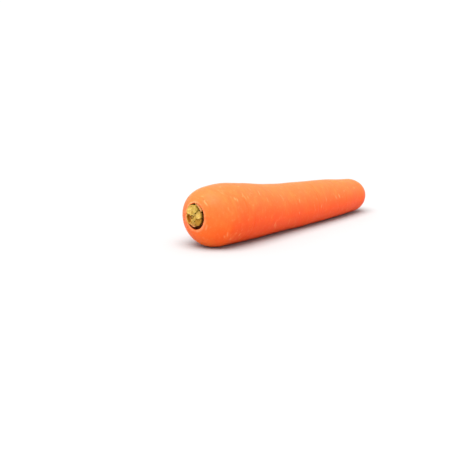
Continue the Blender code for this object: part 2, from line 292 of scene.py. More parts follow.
# --- meshes -----------------------------------------------------------------------------------------------
def closed_mesh(name, rings, first_pole, last_pole, paints):
    """A closed mesh over (rings, sides, 3) points with a pole at each end, and painted point attributes."""
    count, sides = rings.shape[:2]
    points = np.concatenate(([first_pole], rings.reshape(-1, 3), [last_pole]))
    index = 1 + np.arange(count * sides).reshape(count, sides)
    after = np.roll(index, -1, axis=1)
    quads = np.stack((index[:-1], after[:-1], after[1:], index[1:]), axis=-1).reshape(-1, 4)
    last = len(points) - 1
    fans = [(0, b, a) for a, b in zip(index[0], after[0])]
    fans += [(last, a, b) for a, b in zip(index[-1], after[-1])]
    corners = points[quads]
    volume = np.einsum("ij,ij->", corners[:, 0], np.cross(corners[:, 1] - corners[:, 0],
                                                          corners[:, 2] - corners[:, 0]))
    faces = quads.tolist() + [tuple(map(int, fan)) for fan in fans]
    if volume < 0:
        faces = [tuple(reversed(face)) for face in faces]
    mesh = bpy.data.meshes.new(name)
    mesh.from_pydata(points.tolist(), [], faces)
    for paint, values in paints.items():
        ends = (values[0].mean(), values[-1].mean())
        spread = np.concatenate(([ends[0]], values.ravel(), [ends[1]])).astype(np.float32)
        mesh.attributes.new(paint, "FLOAT", "POINT").data.foreach_set("value", spread)
    mesh.validate()
    mesh.shade_smooth()
    return mesh


def place_piece(name, mesh, material, node):
    """Puts a finished mesh in the scene, riding on the body and standing for its CAD node."""
    mesh.materials.append(material)
    piece = bpy.data.objects.new(name, mesh)
    bpy.context.scene.collection.objects.link(piece)
    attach(piece, BODY)
    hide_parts(node)
    return piece


# --- shape of the root ------------------------------------------------------------------------------------
def body_radius(shape, s):
    return shape.radius * smooth_through(GIRTHS, np.asarray(s) / shape.length)


def unevenness(shape, angle, s):
    turn = LOBE_TWIST * s / shape.length
    return OVAL * np.cos(2 * angle - turn) + TRIANGLE * np.cos(3 * angle + turn)


def spine(shape, s):
    """Side and height of the section's middle at a distance s from the shoulders' pole."""
    t = s / shape.length
    side = shape.side_bend * 4 * t * (1 - t)
    underside = body_radius(shape, s) * (1 + unevenness(shape, -math.pi / 2, s))
    tip_rise = shape.tip_lift * np.maximum(0.0, (t - TIP_LIFT_START) / (1 - TIP_LIFT_START)) ** 2
    crown_rise = shape.crown_lift * np.maximum(0.0, 1 - s / (SHOULDER_SHARE * shape.radius)) ** 2
    return side, underside - shape.belly_flat + tip_rise + crown_rise


def shoulder_depth(shape, radius):
    """Distance from the pole at which the rounded shoulders reach a radius."""
    share = (radius / body_radius(shape, 0.0)) ** SHOULDER_FULLNESS
    return SHOULDER_SHARE * shape.radius * (1 - (1 - share) ** (1 / SHOULDER_FULLNESS))


def root_path(shape):
    """(depth, radius) along the skin, from the middle of the pit's floor to the end of the tip."""
    wall, floor = shape.pit_half_height, shape.pit_depth
    turn = np.linspace(0, math.pi / 2, CORNER_POINTS)
    corner = np.stack((floor - PIT_CORNER * (1 - np.cos(turn)), wall - PIT_CORNER * (1 - np.sin(turn))), 1)
    start = np.array((shoulder_depth(shape, wall) + PIT_LIP_DROP, wall))
    bend = np.array((shoulder_depth(shape, wall), wall))
    end = np.array((shoulder_depth(shape, wall + PIT_LIP), wall + PIT_LIP))
    u = np.linspace(0, 1, LIP_POINTS)[:, None]
    lip = (1 - u) ** 2 * start + 2 * u * (1 - u) * bend + u * u * end
    shoulder, tip = SHOULDER_SHARE * shape.radius, TIP_SHARE * shape.radius
    first = math.asin((end[1] / body_radius(shape, 0.0)) ** (SHOULDER_FULLNESS / 2))
    angle = np.linspace(first, math.pi / 2, SHOULDER_POINTS)[1:]
    s = shoulder * (1 - np.clip(np.cos(angle), 0, 1) ** (2 / SHOULDER_FULLNESS))
    rounded = np.stack((s, body_radius(shape, s) * np.sin(angle) ** (2 / SHOULDER_FULLNESS)), 1)
    s = np.linspace(shoulder, shape.length - tip, BODY_POINTS)[1:]
    body = np.stack((s, body_radius(shape, s)), 1)
    angle = np.linspace(math.pi / 2, 0, TIP_POINTS)[1:]
    s = shape.length - tip * (1 - np.clip(np.cos(angle), 0, 1) ** (2 / TIP_FULLNESS))
    end_cap = np.stack((s, body_radius(shape, s) * np.clip(np.sin(angle), 0, 1) ** (2 / TIP_FULLNESS)), 1)
    return np.concatenate(([(floor, 0.0)], corner, lip, rounded, body, end_cap))


def root_rings(shape):
    """The smooth skin as (rings, sides) points, with each ring's depth, radius and distance from the lip."""
    path, travelled = spaced_evenly(root_path(shape), RING_SPACING)
    s, radius = path[:, 0], path[:, 1]
    from_lip = travelled - travelled[int(np.argmin(s))]
    rim = shoulder_depth(shape, shape.pit_half_height)
    side, height = spine(shape, np.where(from_lip < 0, rim, np.maximum(s, rim)))
    squash = shape.pit_half_width / shape.pit_half_height
    shoulder = SHOULDER_SHARE * shape.radius
    outwards = smooth_step((radius - shape.pit_half_height) / (PIT_OVAL_SHARE * shape.radius))
    roundness = np.maximum(outwards, smooth_step((s - shoulder) / shoulder))
    roundness = np.where(s > shape.length / 2, 1.0, roundness)
    width = squash + (1 - squash) * roundness
    angle = 2 * math.pi * np.arange(ROOT_SIDES) / ROOT_SIDES
    reach = radius[:, None] * (1 + unevenness(shape, angle[None], s[:, None]) * roundness[:, None])
    points = np.empty((len(s), ROOT_SIDES, 3))
    points[..., 0] = s[:, None]
    points[..., 1] = side[:, None] + reach * width[:, None] * np.cos(angle)
    points[..., 2] = height[:, None] + reach * np.sin(angle)
    return points, s, radius, from_lip, angle


def outward(points):
    """Unit normals of a grid of rings, pointing away from the flesh."""
    along = np.gradient(points, axis=0)
    around = np.roll(points, -1, axis=1) - np.roll(points, 1, axis=1)
    normals = np.cross(around, along)
    length = np.linalg.norm(normals, axis=2, keepdims=True)
    normals = np.where(length > 1e-12, normals / np.maximum(length, 1e-12), 0.0)
    middle = len(points) // 2
    sign = np.sign(np.sum(normals[middle] * (points[middle] - points[middle].mean(axis=0))))
    return normals * sign


# --- relief of the skin -----------------------------------------------------------------------------------
# Pairs are the least and the most, lengths in mm, and tilts how much a row of creases or marks leans. Places
# are the two numbers of the beta distribution that spreads them from crown to tip.
CREASE_PLACES = (0.9, 1.0)
CREASE_HALF_LENGTH = (3, 17)
CREASE_WIDTH = (0.40, 0.65)
CREASE_WOBBLE = (0, 0.5)
CREASE_TILT = 0.07
CREASE_STRENGTH = (0.15, 1.0)
CREASE_RARITY = 1.6               # more makes deep creases rarer
MARK_PLACES = (0.95, 1.15)
MARK_HALF_LENGTH = (0.7, 3.0)
MARK_WIDTH = (0.30, 0.55)
MARK_TILT = 0.22
MARK_STRENGTH = (0.15, 1.0)
MARK_RARITY = 1.4
MARK_ROW_START = 0.5              # radians round the root of the first of the four rows
MARK_ROW_TWIST = 1.1              # radians that the rows turn from crown to tip
MARK_ROW_SPREAD = 0.16
RIM_WAVES = ((9, 0.10), (13, 0.07), (22, 0.04))    # waves round the rim, and their height in mm
WALL_ROUGHNESS = 0.18 * MM
WALL_GRAIN = 700                  # grains per metre
TAIL_BULGE = 0.55 * MM
TAIL_WAIST = 0.22 * MM


def broad_swell(rng, distance, angle, height, waves, shortest, longest, turns):
    """A sum of slow waves along and round the root."""
    total = np.zeros((len(distance), len(angle)))
    for _ in range(waves):
        length = rng.uniform(shortest, longest)
        turn = rng.integers(0, turns + 1)
        phase = rng.uniform(0, 2 * math.pi)
        total += np.cos(2 * math.pi * distance[:, None] / length + turn * angle[None] + phase)
    return total * height / math.sqrt(waves)


def arc_mark(distance, angle, radius, centre, tilt, half_length, width, wobble):
    """Rows of a short arc across the skin, how far each point is from its middle line, and its fade."""
    place, turn = centre
    rows = np.nonzero(np.abs(distance - place) < 4 * width + abs(tilt) * half_length + wobble)[0]
    if len(rows) == 0:
        return rows, None, None
    across = wrapped(angle - turn)[None] * radius[rows, None]
    line = place + tilt * across + wobble * np.sin(across / (0.35 * half_length) + turn * 7)
    fade = np.clip(1 - (across / half_length) ** 2, 0, 1) ** 1.5
    return rows, (distance[rows, None] - line) / width, fade


def add_creases(rng, skin, relief, paint, distance, angle, radius):
    """Fine creases across the skin, each a shallow groove between two low folds."""
    longest = distance[-1]
    for _ in range(skin.creases):
        place = longest * rng.beta(*CREASE_PLACES)
        centre = (place, rng.uniform(-math.pi, math.pi))
        half_length = rng.uniform(*CREASE_HALF_LENGTH) * MM
        depth = skin.crease_depth * rng.uniform(*CREASE_STRENGTH) ** CREASE_RARITY
        rows, off, fade = arc_mark(distance, angle, radius, centre, rng.normal(0, CREASE_TILT), half_length,
                                   rng.uniform(*CREASE_WIDTH) * MM, rng.uniform(*CREASE_WOBBLE) * MM)
        if len(rows) == 0:
            continue
        groove = np.exp(-off ** 2)
        folds = np.exp(-(np.abs(off) - 1.9) ** 2)
        relief[rows] -= depth * fade * (groove - 0.4 * folds)
        strength = depth / skin.crease_depth
        paint[rows] = np.maximum(paint[rows], strength * fade * groove)


def add_breathing_marks(rng, skin, relief, paint, distance, angle, radius):
    """Pale dashes across the skin, half of them in the four rows from which side roots grow."""
    longest = distance[-1]
    for number in range(skin.marks):
        place = longest * rng.beta(*MARK_PLACES)
        turn = rng.uniform(-math.pi, math.pi)
        if number % 2 == 0:
            row = MARK_ROW_START + math.pi / 2 * (number // 2 % 4)
            turn = row + MARK_ROW_TWIST * place / longest + rng.normal(0, MARK_ROW_SPREAD)
        half_length = rng.uniform(*MARK_HALF_LENGTH) * MM
        width = rng.uniform(*MARK_WIDTH) * MM
        strength = rng.uniform(*MARK_STRENGTH) ** MARK_RARITY
        rows, off, fade = arc_mark(distance, angle, radius, (place, wrapped(turn)),
                                   rng.normal(0, MARK_TILT), half_length, width, 0.0)
        if len(rows) == 0:
            continue
        lips = np.exp(-off ** 2) - 0.55 * np.exp(-(2.4 * off) ** 2)
        relief[rows] += skin.mark_height * strength * fade * lips
        paint[rows] = np.maximum(paint[rows], strength * fade * np.exp(-(0.9 * off) ** 2))


def rim_waves(rng, from_lip, angle):
    """Low waves round the rim of the pit."""
    near = fading(from_lip, 4.5 * MM) * smooth_step((from_lip + 1.5 * MM) / (2 * MM))
    total = np.zeros((len(from_lip), len(angle)))
    for turns, height in RIM_WAVES:
        phase = rng.uniform(0, 2 * math.pi)
        total += height * MM * near[:, None] * np.cos(turns * angle + phase)
    return total


def wall_roughness(points, from_lip):
    """Coarse roughness of the pit's wall and floor, which ends below the lip."""
    inside = 1 - smooth_step((from_lip + 1.2 * MM) / (1.2 * MM))
    rough = np.array([[noise.noise(Vector(p) * WALL_GRAIN) for p in ring] if share > 0 else [0.0] * len(ring)
                      for ring, share in zip(points, inside)])
    return WALL_ROUGHNESS * inside[:, None] * rough


def tail_relief(to_end):
    """The low bulge round the scar at the tip, and the slight waist before it."""
    return TAIL_BULGE * fading(to_end, 1.3 * MM) - TAIL_WAIST * fading(to_end - 2.6 * MM, 1.1 * MM)


def all_round(values):
    """A paint that is the same all round each ring."""
    return np.repeat(values[:, None], ROOT_SIDES, 1)


def fit_to_box(points, smooth):
    """Moves the rings to the CAD root's place, on the surface."""
    points[..., 0] += ROOT_HIGH.x - smooth[..., 0].max()
    points[..., 1] += (ROOT_LOW.y + ROOT_HIGH.y - smooth[..., 1].min() - smooth[..., 1].max()) / 2
    points[..., 2] = np.maximum(points[..., 2], 0.0)


def make_root_mesh(shape, skin):
    rng = np.random.default_rng(skin.seed)
    points, s, radius, from_lip, angle = root_rings(shape)
    smooth = points.copy()
    normals = outward(smooth)
    to_end = from_lip[-1] - from_lip
    outside = smooth_step(from_lip / (2 * MM))[:, None]
    away = smooth_step((from_lip - CROWN_REACH) / (2 * CROWN_REACH))[:, None]
    relief = broad_swell(rng, from_lip, angle, skin.swell, 14, 22 * MM, 90 * MM, 4)
    relief += broad_swell(rng, from_lip, angle, 0.05 * skin.swell, 22, 2.4 * MM, 6 * MM, 3)
    crease = np.zeros_like(relief)
    mark = np.zeros_like(relief)
    add_creases(rng, skin, relief, crease, from_lip, angle, radius)
    add_breathing_marks(rng, skin, relief, mark, from_lip, angle, radius)
    relief = relief * outside + rim_waves(rng, from_lip, angle) + wall_roughness(points, from_lip)
    relief = relief * smooth_step(radius / (2.5 * MM))[:, None] + tail_relief(to_end)[:, None]
    points += normals * relief[..., None]
    points[0, :, 0] = smooth[0, :, 0]
    fit_to_box(points, smooth)
    paints = {
        "mark": mark * outside,
        "crease": crease * outside,
        # dry: the upward-facing skin painted paler, as painted light from overhead
        "dry": smooth_step((normals[..., 2] + TOP_LIGHT_REACH) / (2 * TOP_LIGHT_REACH)),
        # the downward-facing skin painted redder and darker, as painted shade
        "underside_shade": smooth_step((UNDERSIDE_SHADE_REACH - normals[..., 2]) / (2 * UNDERSIDE_SHADE_REACH)) * away,
        "rim": all_round(fading(from_lip - 0.1 * MM, 0.8 * MM)),
        "crown": all_round(fading(np.maximum(from_lip, 0), CROWN_REACH)),
        # pit: the wall below the lip painted dark, as painted shade
        "pit": all_round(1 - smooth_step((from_lip + 1.2 * MM) / (0.8 * MM))),
        "tail": all_round(fading(to_end, 1.6 * MM)),
    }
    first, last = points[0].mean(axis=0), points[-1].mean(axis=0)
    return closed_mesh("carrot_root", points[1:-1], first, last,
                       {name: values[1:-1] for name, values in paints.items()})


# --- shape of the stem and the stalks ---------------------------------------------------------------------
def pole_depth(depth):
    """The x of a depth below the shoulders' pole."""
    root = bpy.context.scene.carrot_root
    return ROOT_HIGH.x - root.length + depth


def cluster_points(angle, radius, depth):
    """Points of the cluster, from angle and radius seen from outside the crown, and depth below the pole."""
    root = bpy.context.scene.carrot_root
    squash = root.pit_half_width / root.pit_half_height
    middle = (STEM_LOW + STEM_HIGH) / 2
    return np.stack((pole_depth(depth) + 0 * angle, middle.y - squash * radius * np.cos(angle),
                     middle.z + radius * np.sin(angle)), axis=-1)


def fray_of(points, size, height):
    """A rough height for each point, from noise of one grain size."""
    flat = points.reshape(-1, 3)
    rough = [noise.noise(Vector(p) / size) for p in flat]
    return height * np.array(rough).reshape(points.shape[:-1])


def waves_round(rng, around, waves):
    """A ragged outline between about -1 and 1, for angles once round it."""
    total = np.zeros_like(around)
    for k in range(1, waves + 1):
        total += rng.normal(0, 1) / k ** 0.6 * np.cos(k * around + rng.uniform(0, 2 * math.pi))
    return total / np.abs(total).max()


def rounded(x):
    """Turns a coordinate of the unit circle into that of a squarer outline."""
    return np.sign(x) * np.abs(x) ** (2 / STALK_FULLNESS)


def stalk_steps(hollow):
    """(share of the section, rise from foot to cut, share of the bore's depth) of each ring, foot first."""
    rise = np.linspace(0, 1, STALK_LEVELS)
    rounding = [max(0.0, (r - CUT_ROUNDING_START) / (1 - CUT_ROUNDING_START)) for r in rise]
    steps = [(1.0 - CUT_ROUNDING * bend ** 2, r, 0.0) for r, bend in zip(rise, rounding)]
    if not hollow:
        return steps + [(share, 1.0, 0.0) for share in np.linspace(0.94, 0.04, CAP_RINGS)]
    steps += [(share, 1.0, 0.0) for share in np.linspace(0.95, BORE_SHARE + 0.02, 5)]
    wall = np.linspace(0.05, 1, 9)
    steps += [(BORE_SHARE + (BORE_FLOOR_SHARE - BORE_SHARE) * u, 1.0, u) for u in wall]
    return steps + [(share, 1.0, 1.0) for share in np.linspace(BORE_FLOOR_SHARE - 0.05, 0.04, CAP_RINGS)]


def bundle_dots(along, across, stalk, width):
    """Strength of the bundle dots, a row of strands that ends on the outer half of a cut face."""
    dots = np.linspace(-0.80, 0.80, max(3, int(width / BUNDLE_SPACING)))
    strength = np.zeros(len(along))
    for dot in dots:
        gap = np.hypot((along - dot) * width, (across - 0.25) * stalk.half_thick * MM)
        strength = np.maximum(strength, fading(gap, BUNDLE_SIZE))
    return strength


def make_stalk_mesh(stalk, look, seed):
    """A stalk from its foot on the stem to its ragged cut, as rings of its crescent-shaped section."""
    rng = np.random.default_rng(seed)
    root = bpy.context.scene.carrot_root
    around = 2 * math.pi * (np.arange(STALK_SIDES) + 0.5) / STALK_SIDES
    thick = stalk.half_thick * MM + STALK_PRESS
    span = math.radians(stalk.half_span) + STALK_PRESS / (stalk.radius * MM)
    width = span * stalk.radius * MM
    ragged = stalk.ragged * MM * waves_round(rng, around, 14)
    ribs = look.ribs * np.cos(rounded(np.cos(around)) * width / RIB_WIDTH + rng.uniform(0, 6)) / thick
    foot = STEM_LOW.x - STALK_FOOT_GAP - pole_depth(0.0)
    top = -stalk.proud * MM
    rim_depth = shoulder_depth(root, root.pit_half_height)
    rings = []
    paints = {"cut": [], "bore": [], "bundle": [], "edge": [], "deep": []}
    for share, rise, sunk in stalk_steps(stalk.name == HOLLOW_STALK):
        along = share * rounded(np.cos(around))
        across = share * rounded(np.sin(around))
        drop = rise * MM * (stalk.slope * along + stalk.fall * across) / 2
        pith = 0.5 * np.exp(-(across / 0.18) ** 2) * smooth_step((BORE_FLOOR_SHARE - share) / 0.1)
        level = foot + (top - foot) * rise + drop - ragged * share ** 2 * rise ** 3
        level = level + look.bore_depth * sunk * (1 - pith)
        over_rim = np.maximum(0.0, rim_depth - level)
        radius = stalk.radius * MM + stalk.flare * over_rim + across * thick * (1 + ribs * share ** 4)
        ring = cluster_points(math.radians(stalk.angle) + span * along, radius, level)
        on_cap = float(share < 0.96)
        bundles = bundle_dots(along, across, stalk, width) * on_cap * (1 - smooth_step(sunk / 0.1))
        ring[:, 0] -= BUNDLE_RISE * bundles
        coarse = fray_of(ring, COARSE_FRAY, look.fray)
        ring[:, 0] -= rise ** 3 * (coarse + fray_of(ring, FINE_FRAY, FINE_FRAY_SHARE * look.fray))
        rings.append(ring)
        paints["cut"].append(0 * along + on_cap)
        paints["bore"].append((0 * along + smooth_step(sunk / 0.2)) * (1 - 0.9 * pith))
        paints["bundle"].append(bundles)
        # deep: darker towards the feet below the rim, partly soil and partly painted shade
        paints["deep"].append(smooth_step((level - rim_depth - 0.7 * MM) / (1.4 * MM)) * (1 - on_cap))
        near_edge = fading(1 - share, EDGE_REACH) * smooth_step((rise - EDGE_START) / (1 - EDGE_START))
        paints["edge"].append(0 * along + near_edge)
    grid = np.array(rings)
    sway = fray_of(grid, 1.6 * MM, SWAY) * np.linspace(0, 1, len(grid))[:, None]
    grid[..., 1] += sway
    grid[..., 2] += sway
    painted_rings = {name: np.array(values) for name, values in paints.items()}
    painted_rings["green"] = np.full(grid.shape[:2], stalk.green)
    painted_rings["brown"] = np.full(grid.shape[:2], stalk.brown)
    return closed_mesh(stalk.name, grid, grid[0].mean(axis=0), grid[-1].mean(axis=0), painted_rings)


def make_stem_mesh():
    """A low lumpy disc with scars, which shows between the stalks."""
    sides, foot, radius = 96, STEM_HIGH.x - pole_depth(0.0), STEM_SIZE.z / 2
    angle = 2 * math.pi * np.arange(sides) / sides
    rings = []
    for share, rise in ((0.4, 0.0), (0.9, 0.0), (0.98, 0.3), (1.0, 0.55), (0.98, 0.85), (0.93, 1.0)):
        rings.append(cluster_points(angle, radius * share + 0 * angle, foot - rise * STEM_SIZE.x))
    for share in np.linspace(0.86, 0.04, 20):
        ring = cluster_points(angle, radius * share + 0 * angle, foot - STEM_SIZE.x)
        ring[:, 0] -= fray_of(ring, 1.4 * MM, 0.22 * MM)
        rings.append(ring)
    grid = np.array(rings)
    return closed_mesh("carrot_stem", grid, grid[0].mean(axis=0), grid[-1].mean(axis=0), {})


def make_heart_mesh(look):
    """A small bud of folded leaf bases that closes to a blunt point."""
    low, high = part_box("heart_bud")
    middle, sides = (low + high) / 2, 60
    angle = 2 * math.pi * np.arange(sides) / sides
    rings = []
    for rise in np.linspace(0, 1, 30):
        closing = math.sqrt(max(0.0, 1 - 0.97 * rise ** 3.5))
        folds = 1 + 0.12 * rise * np.cos(5 * angle + 2.5 * rise) - 0.06 * rise
        reach_y = (high.y - low.y) / 2 * closing * folds
        reach_z = (high.z - low.z) / 2 * closing * folds
        x = high.x + (low.x - high.x) * rise + 0 * angle
        rings.append(np.stack((x, middle.y - reach_y * np.cos(angle), middle.z + reach_z * np.sin(angle)), 1))
    grid = np.array(rings)
    grid[..., 0] -= fray_of(grid, 0.6 * MM, 0.5 * look.fray) * np.linspace(0, 1, 30)[:, None]
    plain = np.zeros(grid.shape[:2])
    tip = np.repeat(np.linspace(0, 1, 30)[:, None] ** 2, sides, 1)
    paints = {"cut": 0.6 * tip, "bore": plain, "bundle": plain, "edge": plain, "green": plain + 0.5,
              "brown": plain, "deep": plain}
    return closed_mesh("heart_bud_folded", grid, grid[0].mean(axis=0), grid[-1].mean(axis=0), paints)


# --- materials --------------------------------------------------------------------------------------------
def add_node(tree, kind, inputs=None, **settings):
    """A new node. inputs pairs a socket's name or number with a value or with another node's output."""
    made = tree.nodes.new(kind)
    for name, value in settings.items():
        setattr(made, name, value)
    for socket, value in (inputs or {}).items():
        if isinstance(value, bpy.types.NodeSocket):
            tree.links.new(value, made.inputs[socket])
        else:
            made.inputs[socket].default_value = value
    return made


def new_material(name):
    material = bpy.data.materials.new(name)
    material.use_nodes = True
    tree = material.node_tree
    return material, tree, tree.nodes["Principled BSDF"]


def painted(tree, name):
    return add_node(tree, "ShaderNodeAttribute", attribute_name=name).outputs["Fac"]


def stretched(tree, scale):
    """The piece's own coordinates, stretched by a scale for each axis."""
    where = add_node(tree, "ShaderNodeTexCoord").outputs["Object"]
    return add_node(tree, "ShaderNodeMapping", {"Vector": where, "Scale": scale}).outputs[0]


def grain(tree, where, scale, detail=3.0, rough=0.55):
    return add_node(tree, "ShaderNodeTexNoise", {"Vector": where, "Scale": scale, "Detail": detail,
                                                 "Roughness": rough}).outputs[0]


def remap(tree, value, low, high, to_low=0.0, to_high=1.0):
    return add_node(tree, "ShaderNodeMapRange", {0: value, 1: low, 2: high, 3: to_low, 4: to_high}).outputs[0]


def maths(tree, operation, first, second):
    return add_node(tree, "ShaderNodeMath", {0: first, 1: second}, operation=operation).outputs[0]


def blended(tree, share, first, second, how="MIX"):
    """Two colours mixed by a share."""
    def four(colour):
        return colour if isinstance(colour, bpy.types.NodeSocket) else (*colour, 1.0)
    return add_node(tree, "ShaderNodeMix", {0: share, 6: four(first), 7: four(second)}, data_type="RGBA",
                    blend_type=how).outputs[2]


def bumped(tree, shader, height, strength, distance):
    bump = add_node(tree, "ShaderNodeBump", {"Height": height, "Strength": strength, "Distance": distance})
    tree.links.new(bump.outputs[0], shader.inputs["Normal"])


def tinted(tree, colour, paint, strength, tint):
    """A colour tinted where the mesh is painted."""
    return blended(tree, maths(tree, "MULTIPLY", painted(tree, paint), strength), colour, tint)


def make_fleshy(shader, weight, radius, scale, specular):
    """Lets light sink a little into the flesh, and dims the gloss."""
    shader.inputs["Subsurface Weight"].default_value = weight
    shader.inputs["Subsurface Radius"].default_value = radius
    shader.inputs["Subsurface Scale"].default_value = scale
    shader.inputs["Specular IOR Level"].default_value = specular


# Grains laid over the skin in this order: colour, how much they are squeezed along the root, grains per
# metre, detail, roughness, the noise at which they begin and are full, and how strong they get.
SKIN_GRAINS = (
    ("deep_skin", 5.0, 190, 4, 0.60, 0.54, 0.75, 0.30),     # streaks across the root
    ("mark", 1.5, 330, 4, 0.65, 0.57, 0.78, 0.30),          # pale blotches
    ("mark", 1.8, 900, 2, 0.50, 0.64, 0.80, 0.35),          # freckles
    ("speck", 1.0, 900, 1, 0.40, 0.74, 0.80, 0.60),         # brown specks
)


def skin_material(skin):
    """Waxy orange skin: patches, fine streaks across, pale marks, redder creases, painted light on top,
    painted shade underneath and in the pit.
    """
    material, tree, shader = new_material("carrot_skin_waxy")
    patches = grain(tree, stretched(tree, (1, 1, 1)), 75, 4)
    light = grain(tree, stretched(tree, (1.6, 1, 1)), 130, 5, 0.6)
    colour = blended(tree, remap(tree, patches, 0.38, 0.66), skin.deep_skin, skin.skin)
    colour = blended(tree, remap(tree, light, 0.48, 0.75, 0.0, 0.9), colour, skin.pale_skin)
    colour = tinted(tree, colour, "crown", 0.62, skin.pale_skin)
    # painted light: the upward-facing skin is made paler
    colour = tinted(tree, colour, "dry", 0.40, skin.top_light_skin)
    # painted shade: the downward-facing skin is made redder and darker
    colour = tinted(tree, colour, "underside_shade", 0.70, skin.underside_shade_skin)
    for tint, squeeze, scale, detail, rough, begins, full, most in SKIN_GRAINS:
        grains = grain(tree, stretched(tree, (squeeze, 1, 1)), scale, detail, rough)
        colour = blended(tree, remap(tree, grains, begins, full, 0.0, most), colour, getattr(skin, tint))
    colour = tinted(tree, colour, "crease", 0.42, skin.deep_skin)
    colour = tinted(tree, colour, "rim", remap(tree, patches, 0.35, 0.65, 0.20, 0.62), skin.rim)
    colour = tinted(tree, colour, "mark", 0.80, skin.mark)
    colour = tinted(tree, colour, "tail", 0.70, skin.pit)
    # painted shade: the pit's wall is made dark brown
    colour = blended(tree, painted(tree, "pit"), colour, skin.pit)
    tree.links.new(colour, shader.inputs["Base Color"])
    tree.links.new(remap(tree, light, 0.3, 0.7, 0.42, 0.54), shader.inputs["Roughness"])
    bumped(tree, shader, grain(tree, stretched(tree, (5.0, 1, 1)), 420, 5, 0.65), 0.35, 0.10 * MM)
    make_fleshy(shader, 0.30, (1.0, 0.30, 0.10), 2.5 * MM, 0.15)
    return material


def stalk_material(look):
    """Cut leaf stalks: pale fibrous cut faces with bundle dots, straw to olive flanks, a brown bore."""
    material, tree, shader = new_material("leaf_stalk_cut")
    plain = stretched(tree, (1, 1, 1))
    fibres = grain(tree, stretched(tree, (0.12, 1, 1)), 2600, 3, 0.6)
    patches = grain(tree, plain, 420, 4, 0.6)
    flank = blended(tree, remap(tree, patches, 0.35, 0.65), look.flank, look.cut_shade)
    flank = blended(tree, painted(tree, "green"), flank, look.green)
    flank = blended(tree, painted(tree, "brown"), flank, look.brown)
    flank = blended(tree, remap(tree, fibres, 0.50, 0.72, 0.0, 0.55), flank, look.cut)
    face = blended(tree, remap(tree, patches, 0.42, 0.64), look.cut, look.cut_shade)
    fresh_grains = grain(tree, plain, 800, 4, 0.7)
    face = blended(tree, remap(tree, fresh_grains, 0.52, 0.70, 0.0, 0.8), face, look.fresh)
    green_grains = grain(tree, plain, 1500, 4, 0.7)
    face = blended(tree, remap(tree, green_grains, 0.54, 0.72, 0.0, 0.7), face, look.green)
    face = tinted(tree, face, "bundle", 0.45, look.cut_shade)
    face = tinted(tree, face, "green", 0.45, look.green)
    # brown: partly an older cut, partly painted shade on the lower stalks
    face = blended(tree, painted(tree, "brown"), face, look.brown)
    colour = blended(tree, painted(tree, "cut"), flank, face)
    colour = tinted(tree, colour, "edge", 0.10, look.cut_shade)
    colour = blended(tree, painted(tree, "bore"), colour, look.bore)
    # partly soil, partly painted shade: the stalks' feet down in the pit are made dark
    colour = blended(tree, painted(tree, "deep"), colour, look.deep)
    tree.links.new(colour, shader.inputs["Base Color"])
    tree.links.new(remap(tree, patches, 0.3, 0.7, 0.50, 0.75), shader.inputs["Roughness"])
    bumped(tree, shader, fibres, 0.5, 0.12 * MM)
    make_fleshy(shader, 0.20, (1.0, 0.7, 0.25), 1.0 * MM, 0.2)
    return material


def sheath_material(look):
    """Dry sheath scraps: cream to pinkish, fibrous, browner at the torn edge."""
    material, tree, shader = new_material("leaf_sheath_dry")
    fibres = grain(tree, stretched(tree, (0.10, 1, 1)), 2200, 4, 0.6)
    patches = grain(tree, stretched(tree, (1, 1, 1)), 500, 3, 0.6)
    colour = blended(tree, remap(tree, patches, 0.40, 0.70), look.sheath, look.flank)
    colour = blended(tree, remap(tree, fibres, 0.55, 0.75, 0.0, 0.5), colour, look.cut_shade)
    colour = tinted(tree, colour, "edge", 0.30, look.cut_shade)
    # brown: partly an older tear, partly painted shade on the lower sheaths
    colour = blended(tree, painted(tree, "brown"), colour, look.brown)
    # partly soil, partly painted shade: the sheaths' feet down in the pit are made dark
    colour = blended(tree, painted(tree, "deep"), colour, look.deep)
    tree.links.new(colour, shader.inputs["Base Color"])
    tree.links.new(remap(tree, patches, 0.3, 0.7, 0.6, 0.8), shader.inputs["Roughness"])
    bumped(tree, shader, fibres, 0.5, 0.10 * MM)
    make_fleshy(shader, 0.25, (1.0, 0.5, 0.25), 1.0 * MM, 0.2)
    return material


def stem_material(look):
    """Rough golden-brown flesh of the stem, darkened partly as painted shade down between the stalks."""
    material, tree, shader = new_material("stem_flesh_rough")
    patches = grain(tree, stretched(tree, (1, 1, 1)), 600, 5, 0.65)
    colour = blended(tree, remap(tree, patches, 0.35, 0.65), look.stem, look.bore)
    tree.links.new(colour, shader.inputs["Base Color"])
    tree.links.new(remap(tree, patches, 0.3, 0.7, 0.65, 0.85), shader.inputs["Roughness"])
    bumped(tree, shader, patches, 0.6, 0.2 * MM)
    return material


def floor_material(studio):
    """Plain matt floor with the faintest mottling."""
    material, tree, shader = new_material("studio_floor_matt")
    cloud = grain(tree, stretched(tree, (1, 1, 1)), 6, 3)
    paler = tuple(min(1.0, 1.02 * c) for c in studio.floor)
    tree.links.new(blended(tree, cloud, studio.floor, paler), shader.inputs["Base Color"])
    shader.inputs["Roughness"].default_value = 0.9
    shader.inputs["Specular IOR Level"].default_value = 0.1
    return material


# --- operators --------------------------------------------------------------------------------------------
class MESH_OT_carrot_root(bpy.types.Operator):
    """Make the fleshy root with its creased skin and its crown pit"""
    bl_idname = "mesh.carrot_root_add"
    bl_label = "Carrot root"

    def execute(self, context):
        scene = context.scene
        mesh = make_root_mesh(scene.carrot_root, scene.carrot_skin)
        place_piece("carrot_root", mesh, skin_material(scene.carrot_skin), "taproot")
        return {"FINISHED"}


class MESH_OT_carrot_stem(bpy.types.Operator):
    """Make the flat short stem on the pit's floor"""
    bl_idname = "mesh.carrot_stem_add"
    bl_label = "Carrot stem"

    def execute(self, context):
        look = context.scene.carrot_stalks
        place_piece("carrot_stem", make_stem_mesh(), stem_material(look), "stem_base")
        return {"FINISHED"}


